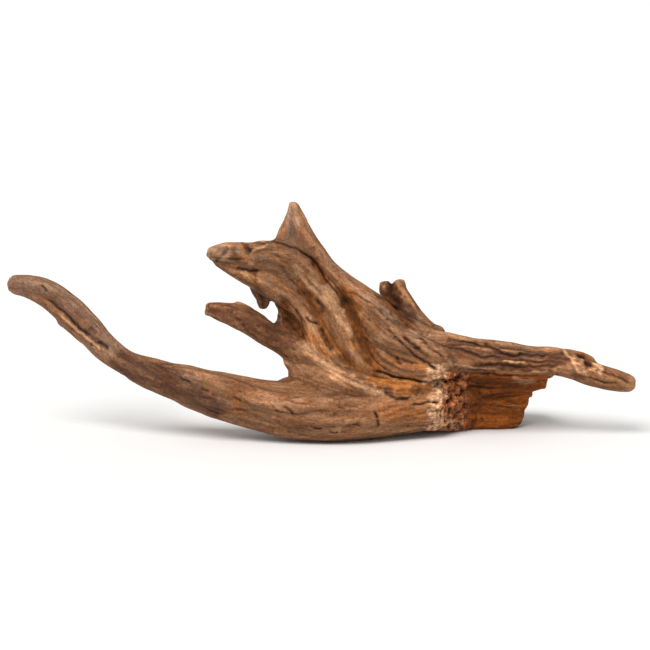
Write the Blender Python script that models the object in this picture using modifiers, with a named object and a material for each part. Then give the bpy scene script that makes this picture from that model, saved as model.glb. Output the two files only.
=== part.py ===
"""Kapas root: one weathered root with a long curved arm, a fan of ridges and lobes, and a short broken arm.

A root of this kind grew as many strands that fused side by side. Each strand here is a curve with its own
radius at each point. They are grown together into one solid by remeshing, smoothing and filling the creases
between them, and the folds that stayed open are pressed in again.
"""

from math import cos, radians, sin

import bmesh
import bpy
import numpy as np
from mathutils import Vector

# Overall size, tip of the long arm to tip of the short arm, in metres.
ROOT_LENGTH = 0.500
# The strands are laid out on a front drawing, 626 steps long, that looks this far down on the root.
DRAWING_STEPS = 626
STEP = ROOT_LENGTH / DRAWING_STEPS
DRAWING_TILT = radians(12)
TOWARD = np.array([0, -cos(DRAWING_TILT), sin(DRAWING_TILT)])
# How far up the drawing the low points are worn off to the ground that the root stands on.
GROUND_WEAR = 2.4

# How the strands grow together: the skin's mesh size, the rounds of smoothing, and the rounds of filling creases
# all round and on the front and back faces alone, with how much of it the back gets.
FUSE_VOXEL = 0.0019
SMOOTH_ROUNDS = 5
FILL_ROUNDS = 15
FACE_FILL_ROUNDS = 105
FILL_BATCH = 15
BACK_SHARE = 0.1
FILL_SHARE = 0.6
# Which way the skin faces is evened out this many rounds. From the first to the second of these shares of
# facing the viewer, filling sets in, and so do the folds.
FACING_ROUNDS = 4
FILL_FACING = (0.3, 0.7)
FOLD_FACING = (0.0, 0.3)
# The low lumps on the skin, in metres.
LUMP_SIZE = 0.030
LUMP_HEIGHT = 0.0013
# The drawing's front is found in cells of this size. It ends this far behind the nearest skin, and what is
# deeper than the second number is hidden. All in drawing steps.
FRONT_CELL = 4
FRONT_DEPTH = (20, 32)
# A fold runs out over this share of its length at each end, down to this share of its depth.
FOLD_END = 0.15
FOLD_END_DEPTH = 0.3
# The share of the faces that is kept.
FACE_SHARE = 0.110

NAME = "kapas_root"

# Each point of a strand is (across, up, depth, radius) in drawing steps. Depth runs away from the viewer,
# and the middle of the drawing's bottom edge is the ground in front of the root.
STRANDS = {
    # The long arm and the trunk that it thickens into, down to the trunk's broken end.
    "long_arm": (
        (-304, 156, 30, 11), (-292, 154, 29, 12), (-272, 146, 26, 13.2), (-252, 130.5, 22, 15),
        (-233, 113, 18, 15), (-213, 92, 14, 13.3), (-192.5, 78, 10, 13), (-162, 65, 6, 16.8),
        (-132, 54.5, 3, 20.8), (-104, 46.5, 0, 23.6), (-72, 39, -1, 24.8), (-42, 32.5, -2, 27.5),
        (-12, 28.8, -3, 29), (18, 28.2, -3, 29.5), (48, 30.5, 2, 28.5), (78, 35, 10, 27), (100, 37, 15, 26),
        (116, 38, 19, 25),
    ),
    "arm_spur": ((-258, 121, 22, 4.5), (-249, 117, 20, 7.5), (-236, 107, 17, 10)),
    "arm_ridge": (
        (-122, 62, -6, 9), (-92, 53, -12, 11), (-60, 42, -16, 12), (-26, 36, -19, 12), (8, 36, -19, 11),
    ),
    "trunk_core": ((-30, 44, 20, 20), (8, 40, 26, 24), (58, 40, 30, 26), (100, 39, 34, 24)),
    "trunk_end_high": ((82, 52, 8, 14), (98, 51, 12, 12), (107, 50, 16, 10)),
    "trunk_end_low": ((84, 30, 16, 20), (100, 30, 20, 18), (106, 30, 23, 15)),
    "broken_end": ((100, 40, 32, 24), (136, 39, 44, 20)),
    "torn_high": ((104, 54, 14, 11), (122, 54, 22, 12), (140, 55, 36, 12)),
    "torn_mid": ((104, 38, 12, 13), (122, 38, 20, 14), (140, 38, 38, 13)),
    "torn_low": ((104, 22, 16, 12), (122, 22, 24, 13), (142, 22, 38, 12)),
    # The flat finger that points back along the long arm, and the pale lip that runs on from it.
    "finger": (
        (-112, 132.5, 8, 7), (-97, 129, 9, 10.3), (-82, 124.3, 10, 13.2), (-68, 117, 11, 13),
        (-55, 108, 12, 12.5), (-42, 101, 12, 12.5), (-24, 90, 11, 14), (-4, 77, 9, 15), (18, 64, 4, 15),
        (44, 56, -1, 12), (70, 53, -1, 11), (98, 52, 3, 10),
    ),
    "finger_spur": ((-84, 138, 10, 3), (-74, 130, 10, 6)),
    "notch_web": ((-24, 64, 6, 9), (-4, 56, -2, 13), (24, 48, -7, 13), (52, 44, -8, 12)),
    "finger_root": (
        (-32, 79, 8, 6.5), (-14, 72, 4, 11), (4, 62, -3, 12), (26, 52, -8, 12), (52, 46, -8, 10),
    ),
    # The nose and the two ridges that run down from it.
    "nose_top": (
        (-107, 187, 14, 7.5), (-96, 188, 13, 11), (-80, 186.5, 12, 13), (-62, 184.5, 12, 13.5),
        (-44, 181.5, 12, 13.5), (-26, 174, 13, 14), (-12, 162, 13, 14), (4, 143, 13, 15.5),
        (16, 122, 12, 15.5),
        (26, 100, 11, 14), (36, 83, 8, 12), (50, 69, 4, 10), (70, 60, 2, 8),
    ),
    "nose_low": (
        (-100, 179, 14, 7.5), (-86, 174, 13, 11), (-72, 168, 12, 13.5), (-55, 161, 12, 15.5),
        (-40, 152.5, 13, 15),
        (-27, 142, 12, 13), (-16, 129, 11, 12), (-8, 115, 10, 12), (0, 101, 9, 12.5), (10, 86, 8, 12),
        (24, 72, 6, 11), (42, 61, 2, 9),
    ),
    "hook": ((-66, 154, 24, 8), (-61, 143, 26, 7), (-60, 137, 27, 6.2)),
    "hollow_web": ((-47, 148, 24, 8), (-37, 133, 26, 9.5), (-34, 118, 26, 14), (-18, 104, 24, 14)),
    "nose_core": (
        (-70, 176, 22, 10), (-44, 164, 26, 14), (-18, 138, 28, 16), (6, 108, 28, 18), (28, 78, 24, 18),
    ),
    # The horn, the top ridge and the short arm that it runs out into.
    "horn_left": (
        (-28.5, 233, 22, 6), (-32, 219, 22, 9.8), (-36, 206, 21, 10.2), (-41, 194, 18, 9),
        (-62, 193, 16, 7.5),
    ),
    "horn_right": (
        (-27, 232, 22, 6), (-23.5, 217, 23, 10), (-17.5, 202, 24, 11.5), (-7, 184.5, 25, 12),
        (6, 169, 25, 11),
        (20, 156.5, 25, 11.5), (36.5, 143.5, 25, 13), (53.5, 130.5, 25, 15), (70, 117, 24, 16.5),
        (88, 106, 22, 16.5),
        (108, 97, 20, 16), (130, 91, 19, 15),
    ),
    "horn_core": ((-29, 216, 24, 9), (-27, 200, 24, 13), (-16, 184, 26, 13)),
    "short_arm_top": (
        (108, 97, 18, 16), (133, 95, 20, 12), (158, 92, 20, 10.5), (183, 89.5, 20, 9.5), (208, 87, 19, 8),
        (233, 86, 18, 8), (256, 84, 17, 6.8), (267, 80.5, 16, 5.5),
    ),
    "short_arm_low": (
        (103, 88, 12, 15), (133, 83, 8, 12.5), (158, 80, 7, 11), (188, 78.5, 7, 10.5), (218, 76, 8, 10.5),
        (248, 72.5, 9, 11), (270, 67, 11, 11.5), (289, 62, 12, 10.5), (304, 58.5, 13, 8.6),
    ),
    "shoulder_high": (
        (24, 148, 22, 7), (38, 128, 20, 11), (54, 112, 16, 13.5), (74, 99, 11, 15), (98, 90, 8, 15),
        (124, 82, 6, 12),
    ),
    "shoulder_low": (
        (38, 122, 34, 7), (48, 103, 22, 11), (60, 90, 12, 12.5), (78, 80, 7, 14), (102, 75, 5, 13.5),
        (126, 73, 5, 10),
    ),
    # What fills the fan behind its front ridges.
    "fan_core_high": (
        (-18, 176, 34, 11), (10, 141, 36, 15), (38, 104, 38, 19), (60, 74, 36, 24), (98, 55, 34, 26),
        (133, 48, 40, 22),
    ),
    "valley_floor": ((-8, 176, 26, 9), (14, 148, 25, 12), (31, 122, 22, 13), (42, 98, 20, 14), (54, 74, 18, 15)),
    "fan_core_low": (
        (-42, 156, 30, 10), (-20, 129, 34, 13), (3, 96, 34, 17), (28, 61, 30, 22), (58, 41, 26, 24),
    ),
    # The broken stub that stands up behind the top ridge, and its way down the back.
    "stub": (
        (109, 98, 38, 18), (93, 116, 43, 15.5), (82.5, 131, 48, 15), (76, 141, 53, 14.5),
        (71.5, 149, 56, 13.5),
    ),
    "stub_peak_right": ((77, 151, 58, 8), (79, 157.5, 58, 6)),
    "stub_peak_left": ((63, 149.5, 58, 6.5), (61.5, 156.5, 58, 5)),
    "stub_knob": ((98, 98, 38, 12), (114, 108, 36, 10)),
    "stub_root": (
        (78, 132, 54, 11), (88, 112, 60, 12), (100, 93, 63, 13), (118, 76, 66, 13), (144, 63, 69, 12),
    ),
    # The block under the short arm, set back from it, with a broken outer edge.
    "foot_core": ((108, 40, 50, 26), (148, 40, 66, 22), (182, 40, 67, 19), (197, 43, 67, 15)),
    "foot_top": ((118, 60, 50, 15), (168, 61, 66, 15), (196, 60, 66, 14), (212, 60, 66, 12)),
    "foot_sole": ((108, 30, 46, 17), (146, 24, 63, 15), (186, 23, 64, 14)),
    "foot_high": ((103, 57, 34, 12), (148, 57, 50, 12), (188, 59, 54, 12), (220, 60, 54, 9.5)),
    "foot_face_high": ((108, 48, 34, 13), (148, 49, 51, 12.5), (188, 50, 55, 12.5), (211, 52, 55, 9)),
    "foot_face_low": ((108, 32, 34, 14), (148, 32, 51, 13.5), (186, 32, 52.5, 13), (198, 33, 53, 11.5)),
    "foot_mid": ((108, 40, 34, 14), (148, 41, 54, 13), (186, 42, 56, 12.5), (207, 43, 56, 10)),
    "foot_low": ((108, 24, 34, 14), (148, 22.5, 48, 14), (178, 22, 49, 14), (192, 22, 50, 12.3)),
    "foot_back_high": ((118, 56, 62, 14), (158, 56, 78, 12), (198, 57, 78, 11), (212, 58, 76, 8)),
    "foot_back_low": ((118, 30, 60, 16), (158, 28, 78, 15), (186, 27, 78, 12)),
    "foot_web": ((128, 76, 34, 16), (168, 73, 38, 12), (208, 70, 38, 10), (227, 69, 36, 7.5)),
    # The back of the fan and the trunk, and the heel that the root stands on behind.
    "back_high": (
        (-18, 198, 27, 5), (-8, 182, 36, 9), (10, 158, 42, 11.5), (31, 130, 46, 12), (54, 104, 51, 13),
        (80, 82, 57, 14), (112, 66, 63, 14), (142, 56, 68, 12),
    ),
    "back_mid": (
        (-36, 180, 22, 5), (-26, 162, 33, 9), (-9, 136, 41, 12), (12, 109, 46, 14), (36, 85, 51, 15),
        (66, 65, 57, 16), (100, 51, 63, 16), (132, 43, 68, 14),
    ),
    "back_low": (
        (-60, 176, 20, 5), (-46, 158, 28, 8), (-30, 132, 35, 10), (-12, 106, 40, 12), (8, 82, 45, 14),
        (36, 60, 49, 16), (70, 45, 53, 18), (104, 37, 58, 18),
    ),
    "trunk_back": (
        (-84, 43, 6, 15), (-48, 41, 16, 17), (-8, 43, 28, 20), (36, 43, 38, 23), (90, 38, 46, 22),
    ),
    "heel": (
        (48, 46, 44, 20), (30, 38, 55, 18.5), (13, 30, 66, 16.5), (0, 25.5, 76, 14), (-9, 24.5, 84, 12),
    ),
}

# Strands whose last end is a blunt break, not rounded off.
BLUNT_STRANDS = ("long_arm",)

# The folds and hollows on the front: each is a line of (across, up) on the drawing with a half width and a depth
# in steps. A negative depth is a raised ridge or knob.
FOLDS = (
    (5.5, 4.2, ((-14, 184), (-6, 176), (3, 162), (11, 152), (20, 143), (28, 132))),
    (8.0, 5.4, ((18, 146), (27, 133), (35, 118), (43, 100), (48, 84), (52, 72))),
    (5.5, 4.6, ((-22, 159), (-11, 141), (-2, 124), (4, 112), (13, 96), (23, 82), (38, 71))),
    (6.0, 5.5, ((-37, 136), (-31, 122), (-20, 106))),
    (8.5, 7.0, ((66, 144), (76, 132), (86, 118))),
    (9.0, 3.5, ((46, 66), (62, 60), (84, 56), (104, 52))),
    (4.0, 2.4, ((0, 110), (5, 100), (8, 94))),
    (4.5, -2.6, ((-12, 90), (0, 82), (10, 73), (23, 63), (36, 57), (50, 54))),
    (5.5, -3.4, ((76, 49), (84, 49))),
)

# Where the wood broke off square: a point on the break and the way the break faces, both (across, up, depth),
# and how far round the point it reaches.
BREAKS = (
    ((-115, 131, 8), (-1.0, 0.1, -0.2), 16),
    ((314, 57, 14), (1.0, 0.1, -0.1), 16),
    ((-114, 184, 14), (-1.0, 0.2, -0.3), 20),
    ((-15, 22, 90), (-0.7, 0.2, 1.0), 18),
    ((227, 60, 52), (1.0, -0.2, 0.1), 13),
    ((213, 43, 60), (1.0, 0.1, 0.0), 15),
    ((201, 22, 62), (1.0, -0.3, 0.1), 30),
)


def clear_scene():
    """Removes the objects of the startup scene."""
    for obj in list(bpy.data.objects):
        bpy.data.objects.remove(obj)


def collection_named(name):
    """A new collection in the scene."""
    made = bpy.data.collections.new(name)
    bpy.context.scene.collection.children.link(made)
    return made


def placed(across, up, depth):
    """A point of the front drawing, in metres. What lies deeper is drawn higher, so that is taken off its height."""
    height = (up - depth * sin(DRAWING_TILT)) / cos(DRAWING_TILT)
    return Vector((across, depth, height - GROUND_WEAR)) * STEP


def strand_curve(name, points):
    """A strand as a round curve that passes through its points, with a radius at each."""
    curve = bpy.data.curves.new(name, "CURVE")
    curve.dimensions = "3D"
    curve.bevel_depth = STEP
    curve.bevel_resolution = 5
    curve.resolution_u = 6
    curve.use_fill_caps = True
    spline = curve.splines.new("BEZIER")
    spline.bezier_points.add(len(points) - 1)
    for knot, (across, up, depth, radius) in zip(spline.bezier_points, points):
        knot.co = placed(across, up, depth)
        knot.handle_left_type = knot.handle_right_type = "AUTO"
        knot.radius = radius
    return bpy.data.objects.new(name, curve)


def evaluated_mesh(obj):
    """The object's mesh with its modifiers applied."""
    graph = bpy.context.evaluated_depsgraph_get()
    graph.update()
    return bpy.data.meshes.new_from_object(obj.evaluated_get(graph))


def add_strand(bundle, name, points):
    """Adds a strand to the bundle's mesh, with a ball at each end that rounds it off, unless it is blunt."""
    guide = strand_curve(name, points)
    bpy.context.scene.collection.objects.link(guide)
    bundle.from_mesh(evaluated_mesh(guide))
    bpy.data.objects.remove(guide)
    for across, up, depth, radius in points[:1] if name in BLUNT_STRANDS else (points[0], points[-1]):
        ball = bmesh.ops.create_icosphere(bundle, subdivisions=3, radius=radius * STEP)
        bmesh.ops.translate(bundle, verts=ball["verts"], vec=placed(across, up, depth))


def bundle_object(collection):
    """All strands in one mesh, still loose in each other."""
    bundle = bmesh.new()
    for name, points in STRANDS.items():
        add_strand(bundle, name, points)
    bmesh.ops.remove_doubles(bundle, verts=bundle.verts, dist=1e-5)
    mesh = bpy.data.meshes.new("strand_bundle")
    bundle.to_mesh(mesh)
    bundle.free()
    made = bpy.data.objects.new("strand_bundle", mesh)
    collection.objects.link(made)
    made.hide_render = True
    made.display_type = "WIRE"
    return made


def keep_outer_shell(mesh):
    """Leaves only the largest connected surface, so that gaps sealed in between strands are filled."""
    shape = bmesh.new()
    shape.from_mesh(mesh)
    unseen, shells = set(shape.verts), []
    while unseen:
        front = [unseen.pop()]
        shell = list(front)
        while front:
            near = {e.other_vert(v) for v in front for e in v.link_edges}
            front = list(near & unseen)
            unseen -= near
            shell += front
        shells.append(shell)
    shells.sort(key=len)
    bmesh.ops.delete(shape, geom=[v for shell in shells[:-1] for v in shell], context="VERTS")
    shape.to_mesh(mesh)
    shape.free()


def unit(vectors):
    """Each vector divided by its length."""
    return vectors / np.maximum(np.linalg.norm(vectors, axis=-1, keepdims=True), 1e-12)


def ramp(values, low, high):
    """0 below low, 1 above high, and smooth in between."""
    share = np.clip((values - low) / (high - low), 0, 1)
    return share * share * (3 - 2 * share)


def lattice_values(cells, seed):
    """A repeatable number from -1 to 1 for each whole-numbered lattice cell."""
    mixed = cells[:, 0] * 127.1 + cells[:, 1] * 311.7 + cells[:, 2] * 74.7 + seed * 53.9
    wave = np.sin(mixed) * 43758.5453
    return 2 * (wave - np.floor(wave)) - 1


def smooth_noise(points, seed):
    """Value noise: random numbers at whole-numbered points, blended smoothly in between."""
    cell = np.floor(points)
    share = points - cell
    share = share * share * (3 - 2 * share)
    total = np.zeros(len(points))
    for corner in np.ndindex(2, 2, 2):
        weight = np.prod(np.where(corner, share, 1 - share), axis=1)
        total += weight * lattice_values(cell + corner, seed)
    return total


def skin_arrays(mesh):
    """The skin's points, its edges as pairs of points, and its four-cornered faces."""
    points = np.empty(len(mesh.vertices) * 3)
    mesh.vertices.foreach_get("co", points)
    edges = np.empty(len(mesh.edges) * 2, np.int32)
    mesh.edges.foreach_get("vertices", edges)
    corners = np.empty(len(mesh.loops), np.int32)
    mesh.loops.foreach_get("vertex_index", corners)
    return points.reshape(-1, 3), edges.reshape(-1, 2), corners.reshape(-1, 4)


def skin_normals(points, quads):
    """Each point's normal, from the diagonals of the faces round it."""
    a, b, c, d = (points[quads[:, corner]] for corner in range(4))
    facing = np.cross(c - a, d - b)
    total = np.zeros_like(points)
    for corner in range(4):
        np.add.at(total, quads[:, corner], facing)
    return unit(total)


def relaxed(values, edges, rounds, share=0.5):
    """Values moved towards the mean of their neighbours on the skin, a number of rounds."""
    values = np.array(values, float)
    columns = values.reshape(len(values), -1)
    ends, others = np.concatenate([edges, edges[:, ::-1]]).T
    degree = np.bincount(ends, minlength=len(values))[:, None]
    for _ in range(rounds):
        total = np.stack([np.bincount(ends, column[others], len(values)) for column in columns.T], -1)
        columns += share * (total / degree - columns)
    return values


def filled(points, edges, quads, rounds, faces_only):
    """Fills creases: a point moves out to its neighbours' mean, never in.

    With faces_only, the skin that the drawing shows edge on stays as it is, so the outline doesn't change, and
    the back is filled less than the front.
    """
    for _ in range(0, rounds, FILL_BATCH):
        normals = skin_normals(points, quads)
        facing = relaxed(normals, edges, FACING_ROUNDS) @ TOWARD
        weight = ramp(facing, *FILL_FACING) + BACK_SHARE * ramp(-facing, *FILL_FACING) if faces_only else 1
        for _ in range(FILL_BATCH):
            rise = ((relaxed(points, edges, 1, 1.0) - points) * normals).sum(1)
            points = points + (FILL_SHARE * weight * np.maximum(rise, 0))[:, None] * normals
    return points


def broken_off(points):
    """Flattens what reaches past a break onto the break's plane."""
    for place, facing, reach in BREAKS:
        middle = np.array(placed(*place))
        outward = unit(np.array([facing[0], facing[2], facing[1]]))
        past = (points - middle) @ outward
        near = np.linalg.norm(points - middle, axis=1) < reach * STEP
        points = points - np.where(near & (past > 0), past, 0)[:, None] * outward
    return points


def front_share(points, edges, quads, spots, depths):
    """How far each point is on the front: it faces the viewer, and nothing hides it."""
    cells = np.floor(spots / FRONT_CELL).astype(int)
    cells -= cells.min(0)
    key = cells[:, 0] * (cells[:, 1].max() + 1) + cells[:, 1]
    nearest = np.full(key.max() + 1, np.inf)
    np.minimum.at(nearest, key, depths)
    hidden = ramp(depths - nearest[key], *FRONT_DEPTH)
    facing = relaxed(skin_normals(points, quads), edges, FACING_ROUNDS) @ TOWARD
    return ramp(facing, *FOLD_FACING) * (1 - relaxed(hidden, edges, FACING_ROUNDS))


def distance_to_line(spots, line):
    """Distance of each spot from a broken line, and how far along the line (0 to 1) the nearest place is."""
    line = np.array(line, float)
    start, stretch = line[:-1], np.diff(line, axis=0)
    length = np.linalg.norm(stretch, axis=1)
    gap = spots[:, None] - start
    share = np.clip((gap * stretch).sum(-1) / length**2, 0, 1)
    distance = np.linalg.norm(gap - share[..., None] * stretch, axis=-1)
    best = distance.argmin(1)
    rows = np.arange(len(spots))
    before = np.append(0, np.cumsum(length))[best]
    return distance[rows, best], (before + share[rows, best] * length[best]) / length.sum()


def folded(points, edges, quads):
    """Presses the folds into the front, straight back along the drawing's line of sight."""
    across, depths, height = (points / STEP).T
    up = (height + GROUND_WEAR) * cos(DRAWING_TILT) + depths * sin(DRAWING_TILT)
    spots = np.stack([across, up], -1)
    front = front_share(points, edges, quads, spots, depths)
    pushed = np.zeros(len(points))
    for width, depth, line in FOLDS:
        distance, run = distance_to_line(spots, line)
        taper = ramp(run, 0, FOLD_END) * ramp(1 - run, 0, FOLD_END)
        taper = FOLD_END_DEPTH + (1 - FOLD_END_DEPTH) * taper
        pushed += np.exp(-((distance / width) ** 2)) * taper * depth * STEP
    pushed = relaxed(pushed * front, edges, 2)
    return relaxed(points - pushed[:, None] * TOWARD, edges, 2)


def weather(mesh):
    """Fills the creases, raises low lumps, breaks ends off, presses the folds and centres the root."""
    points, edges, quads = skin_arrays(mesh)
    points = filled(points, edges, quads, FILL_ROUNDS, False)
    points = filled(points, edges, quads, FACE_FILL_ROUNDS, True)
    lumps = smooth_noise(points / LUMP_SIZE, 1) + 0.5 * smooth_noise(points / LUMP_SIZE * 2, 2)
    points += skin_normals(points, quads) * lumps[:, None] * LUMP_HEIGHT
    points = folded(broken_off(points), edges, quads)
    points[:, :2] -= (points.min(0) + points.max(0))[:2] / 2
    mesh.vertices.foreach_set("co", points.ravel())
    mesh.update()


def wood_material():
    """Dry weathered wood."""
    material = bpy.data.materials.new("weathered_wood")
    material.use_nodes = True
    shader = material.node_tree.nodes["Principled BSDF"]
    shader.inputs["Base Color"].default_value = (0.27, 0.15, 0.085, 1)
    shader.inputs["Roughness"].default_value = 0.8
    shader.inputs["Metallic"].default_value = 0.0
    return material


def add_ground_cutter(collection):
    """A slab whose top is the ground, which the low points are worn flat to."""
    bpy.ops.mesh.primitive_cube_add(size=1)
    slab = bpy.context.object
    slab.name = "ground_cutter"
    slab.scale = (2 * ROOT_LENGTH, ROOT_LENGTH, 0.1)
    slab.location = (0, 0, -0.05)
    for owner in list(slab.users_collection):
        owner.objects.unlink(slab)
    collection.objects.link(slab)
    slab.hide_render = True
    slab.display_type = "WIRE"
    return slab


def build():
    clear_scene()
    parts = collection_named("kapas_root_parts")
    helpers = collection_named("helpers")

    bundle = bundle_object(helpers)
    fuse = bundle.modifiers.new("fuse", "REMESH")
    fuse.mode = "VOXEL"
    fuse.voxel_size = FUSE_VOXEL
    smooth = bundle.modifiers.new("smooth", "SMOOTH")
    smooth.factor = 0.5
    smooth.iterations = SMOOTH_ROUNDS
    mesh = evaluated_mesh(bundle)
    mesh.name = NAME
    keep_outer_shell(mesh)
    weather(mesh)

    root = bpy.data.objects.new(NAME, mesh)
    parts.objects.link(root)
    root.data.materials.append(wood_material())
    thin = root.modifiers.new("fewer_faces", "DECIMATE")
    thin.ratio = FACE_SHARE
    flats = root.modifiers.new("worn_flats", "BOOLEAN")
    flats.operation = "DIFFERENCE"
    flats.object = add_ground_cutter(helpers)


build()
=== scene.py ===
"""The looks of the kapas root: a weathered root, with its fused strands, crevices and worn edges modelled."""

from math import cos, radians, sin

import bpy
import numpy as np
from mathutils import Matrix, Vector


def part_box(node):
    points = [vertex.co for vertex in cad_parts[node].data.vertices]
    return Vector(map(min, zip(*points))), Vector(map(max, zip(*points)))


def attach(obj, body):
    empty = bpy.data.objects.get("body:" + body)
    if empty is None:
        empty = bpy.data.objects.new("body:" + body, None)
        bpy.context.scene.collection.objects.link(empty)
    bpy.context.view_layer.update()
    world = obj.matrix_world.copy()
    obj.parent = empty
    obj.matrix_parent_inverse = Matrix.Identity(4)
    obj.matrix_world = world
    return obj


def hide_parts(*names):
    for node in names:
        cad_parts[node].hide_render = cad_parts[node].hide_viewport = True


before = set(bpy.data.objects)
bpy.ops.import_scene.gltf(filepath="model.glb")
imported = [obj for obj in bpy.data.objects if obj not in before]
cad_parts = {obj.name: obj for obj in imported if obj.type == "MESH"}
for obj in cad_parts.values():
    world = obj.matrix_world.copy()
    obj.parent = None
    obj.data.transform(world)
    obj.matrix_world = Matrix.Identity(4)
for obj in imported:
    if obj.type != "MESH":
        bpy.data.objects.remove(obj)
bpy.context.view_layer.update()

# The root's strands. A root of this kind is many roots that grew side by side and fused, so each strand is a
# round tube with its own radius at each point. They are laid out on a front drawing that looks down on it a
# little: a point is (across, up, depth, radius) in steps of the drawing, with depth away from the viewer.

ROOT_LENGTH = 0.500
STEP = ROOT_LENGTH / 626
DRAWING_TILT = radians(12)
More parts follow.
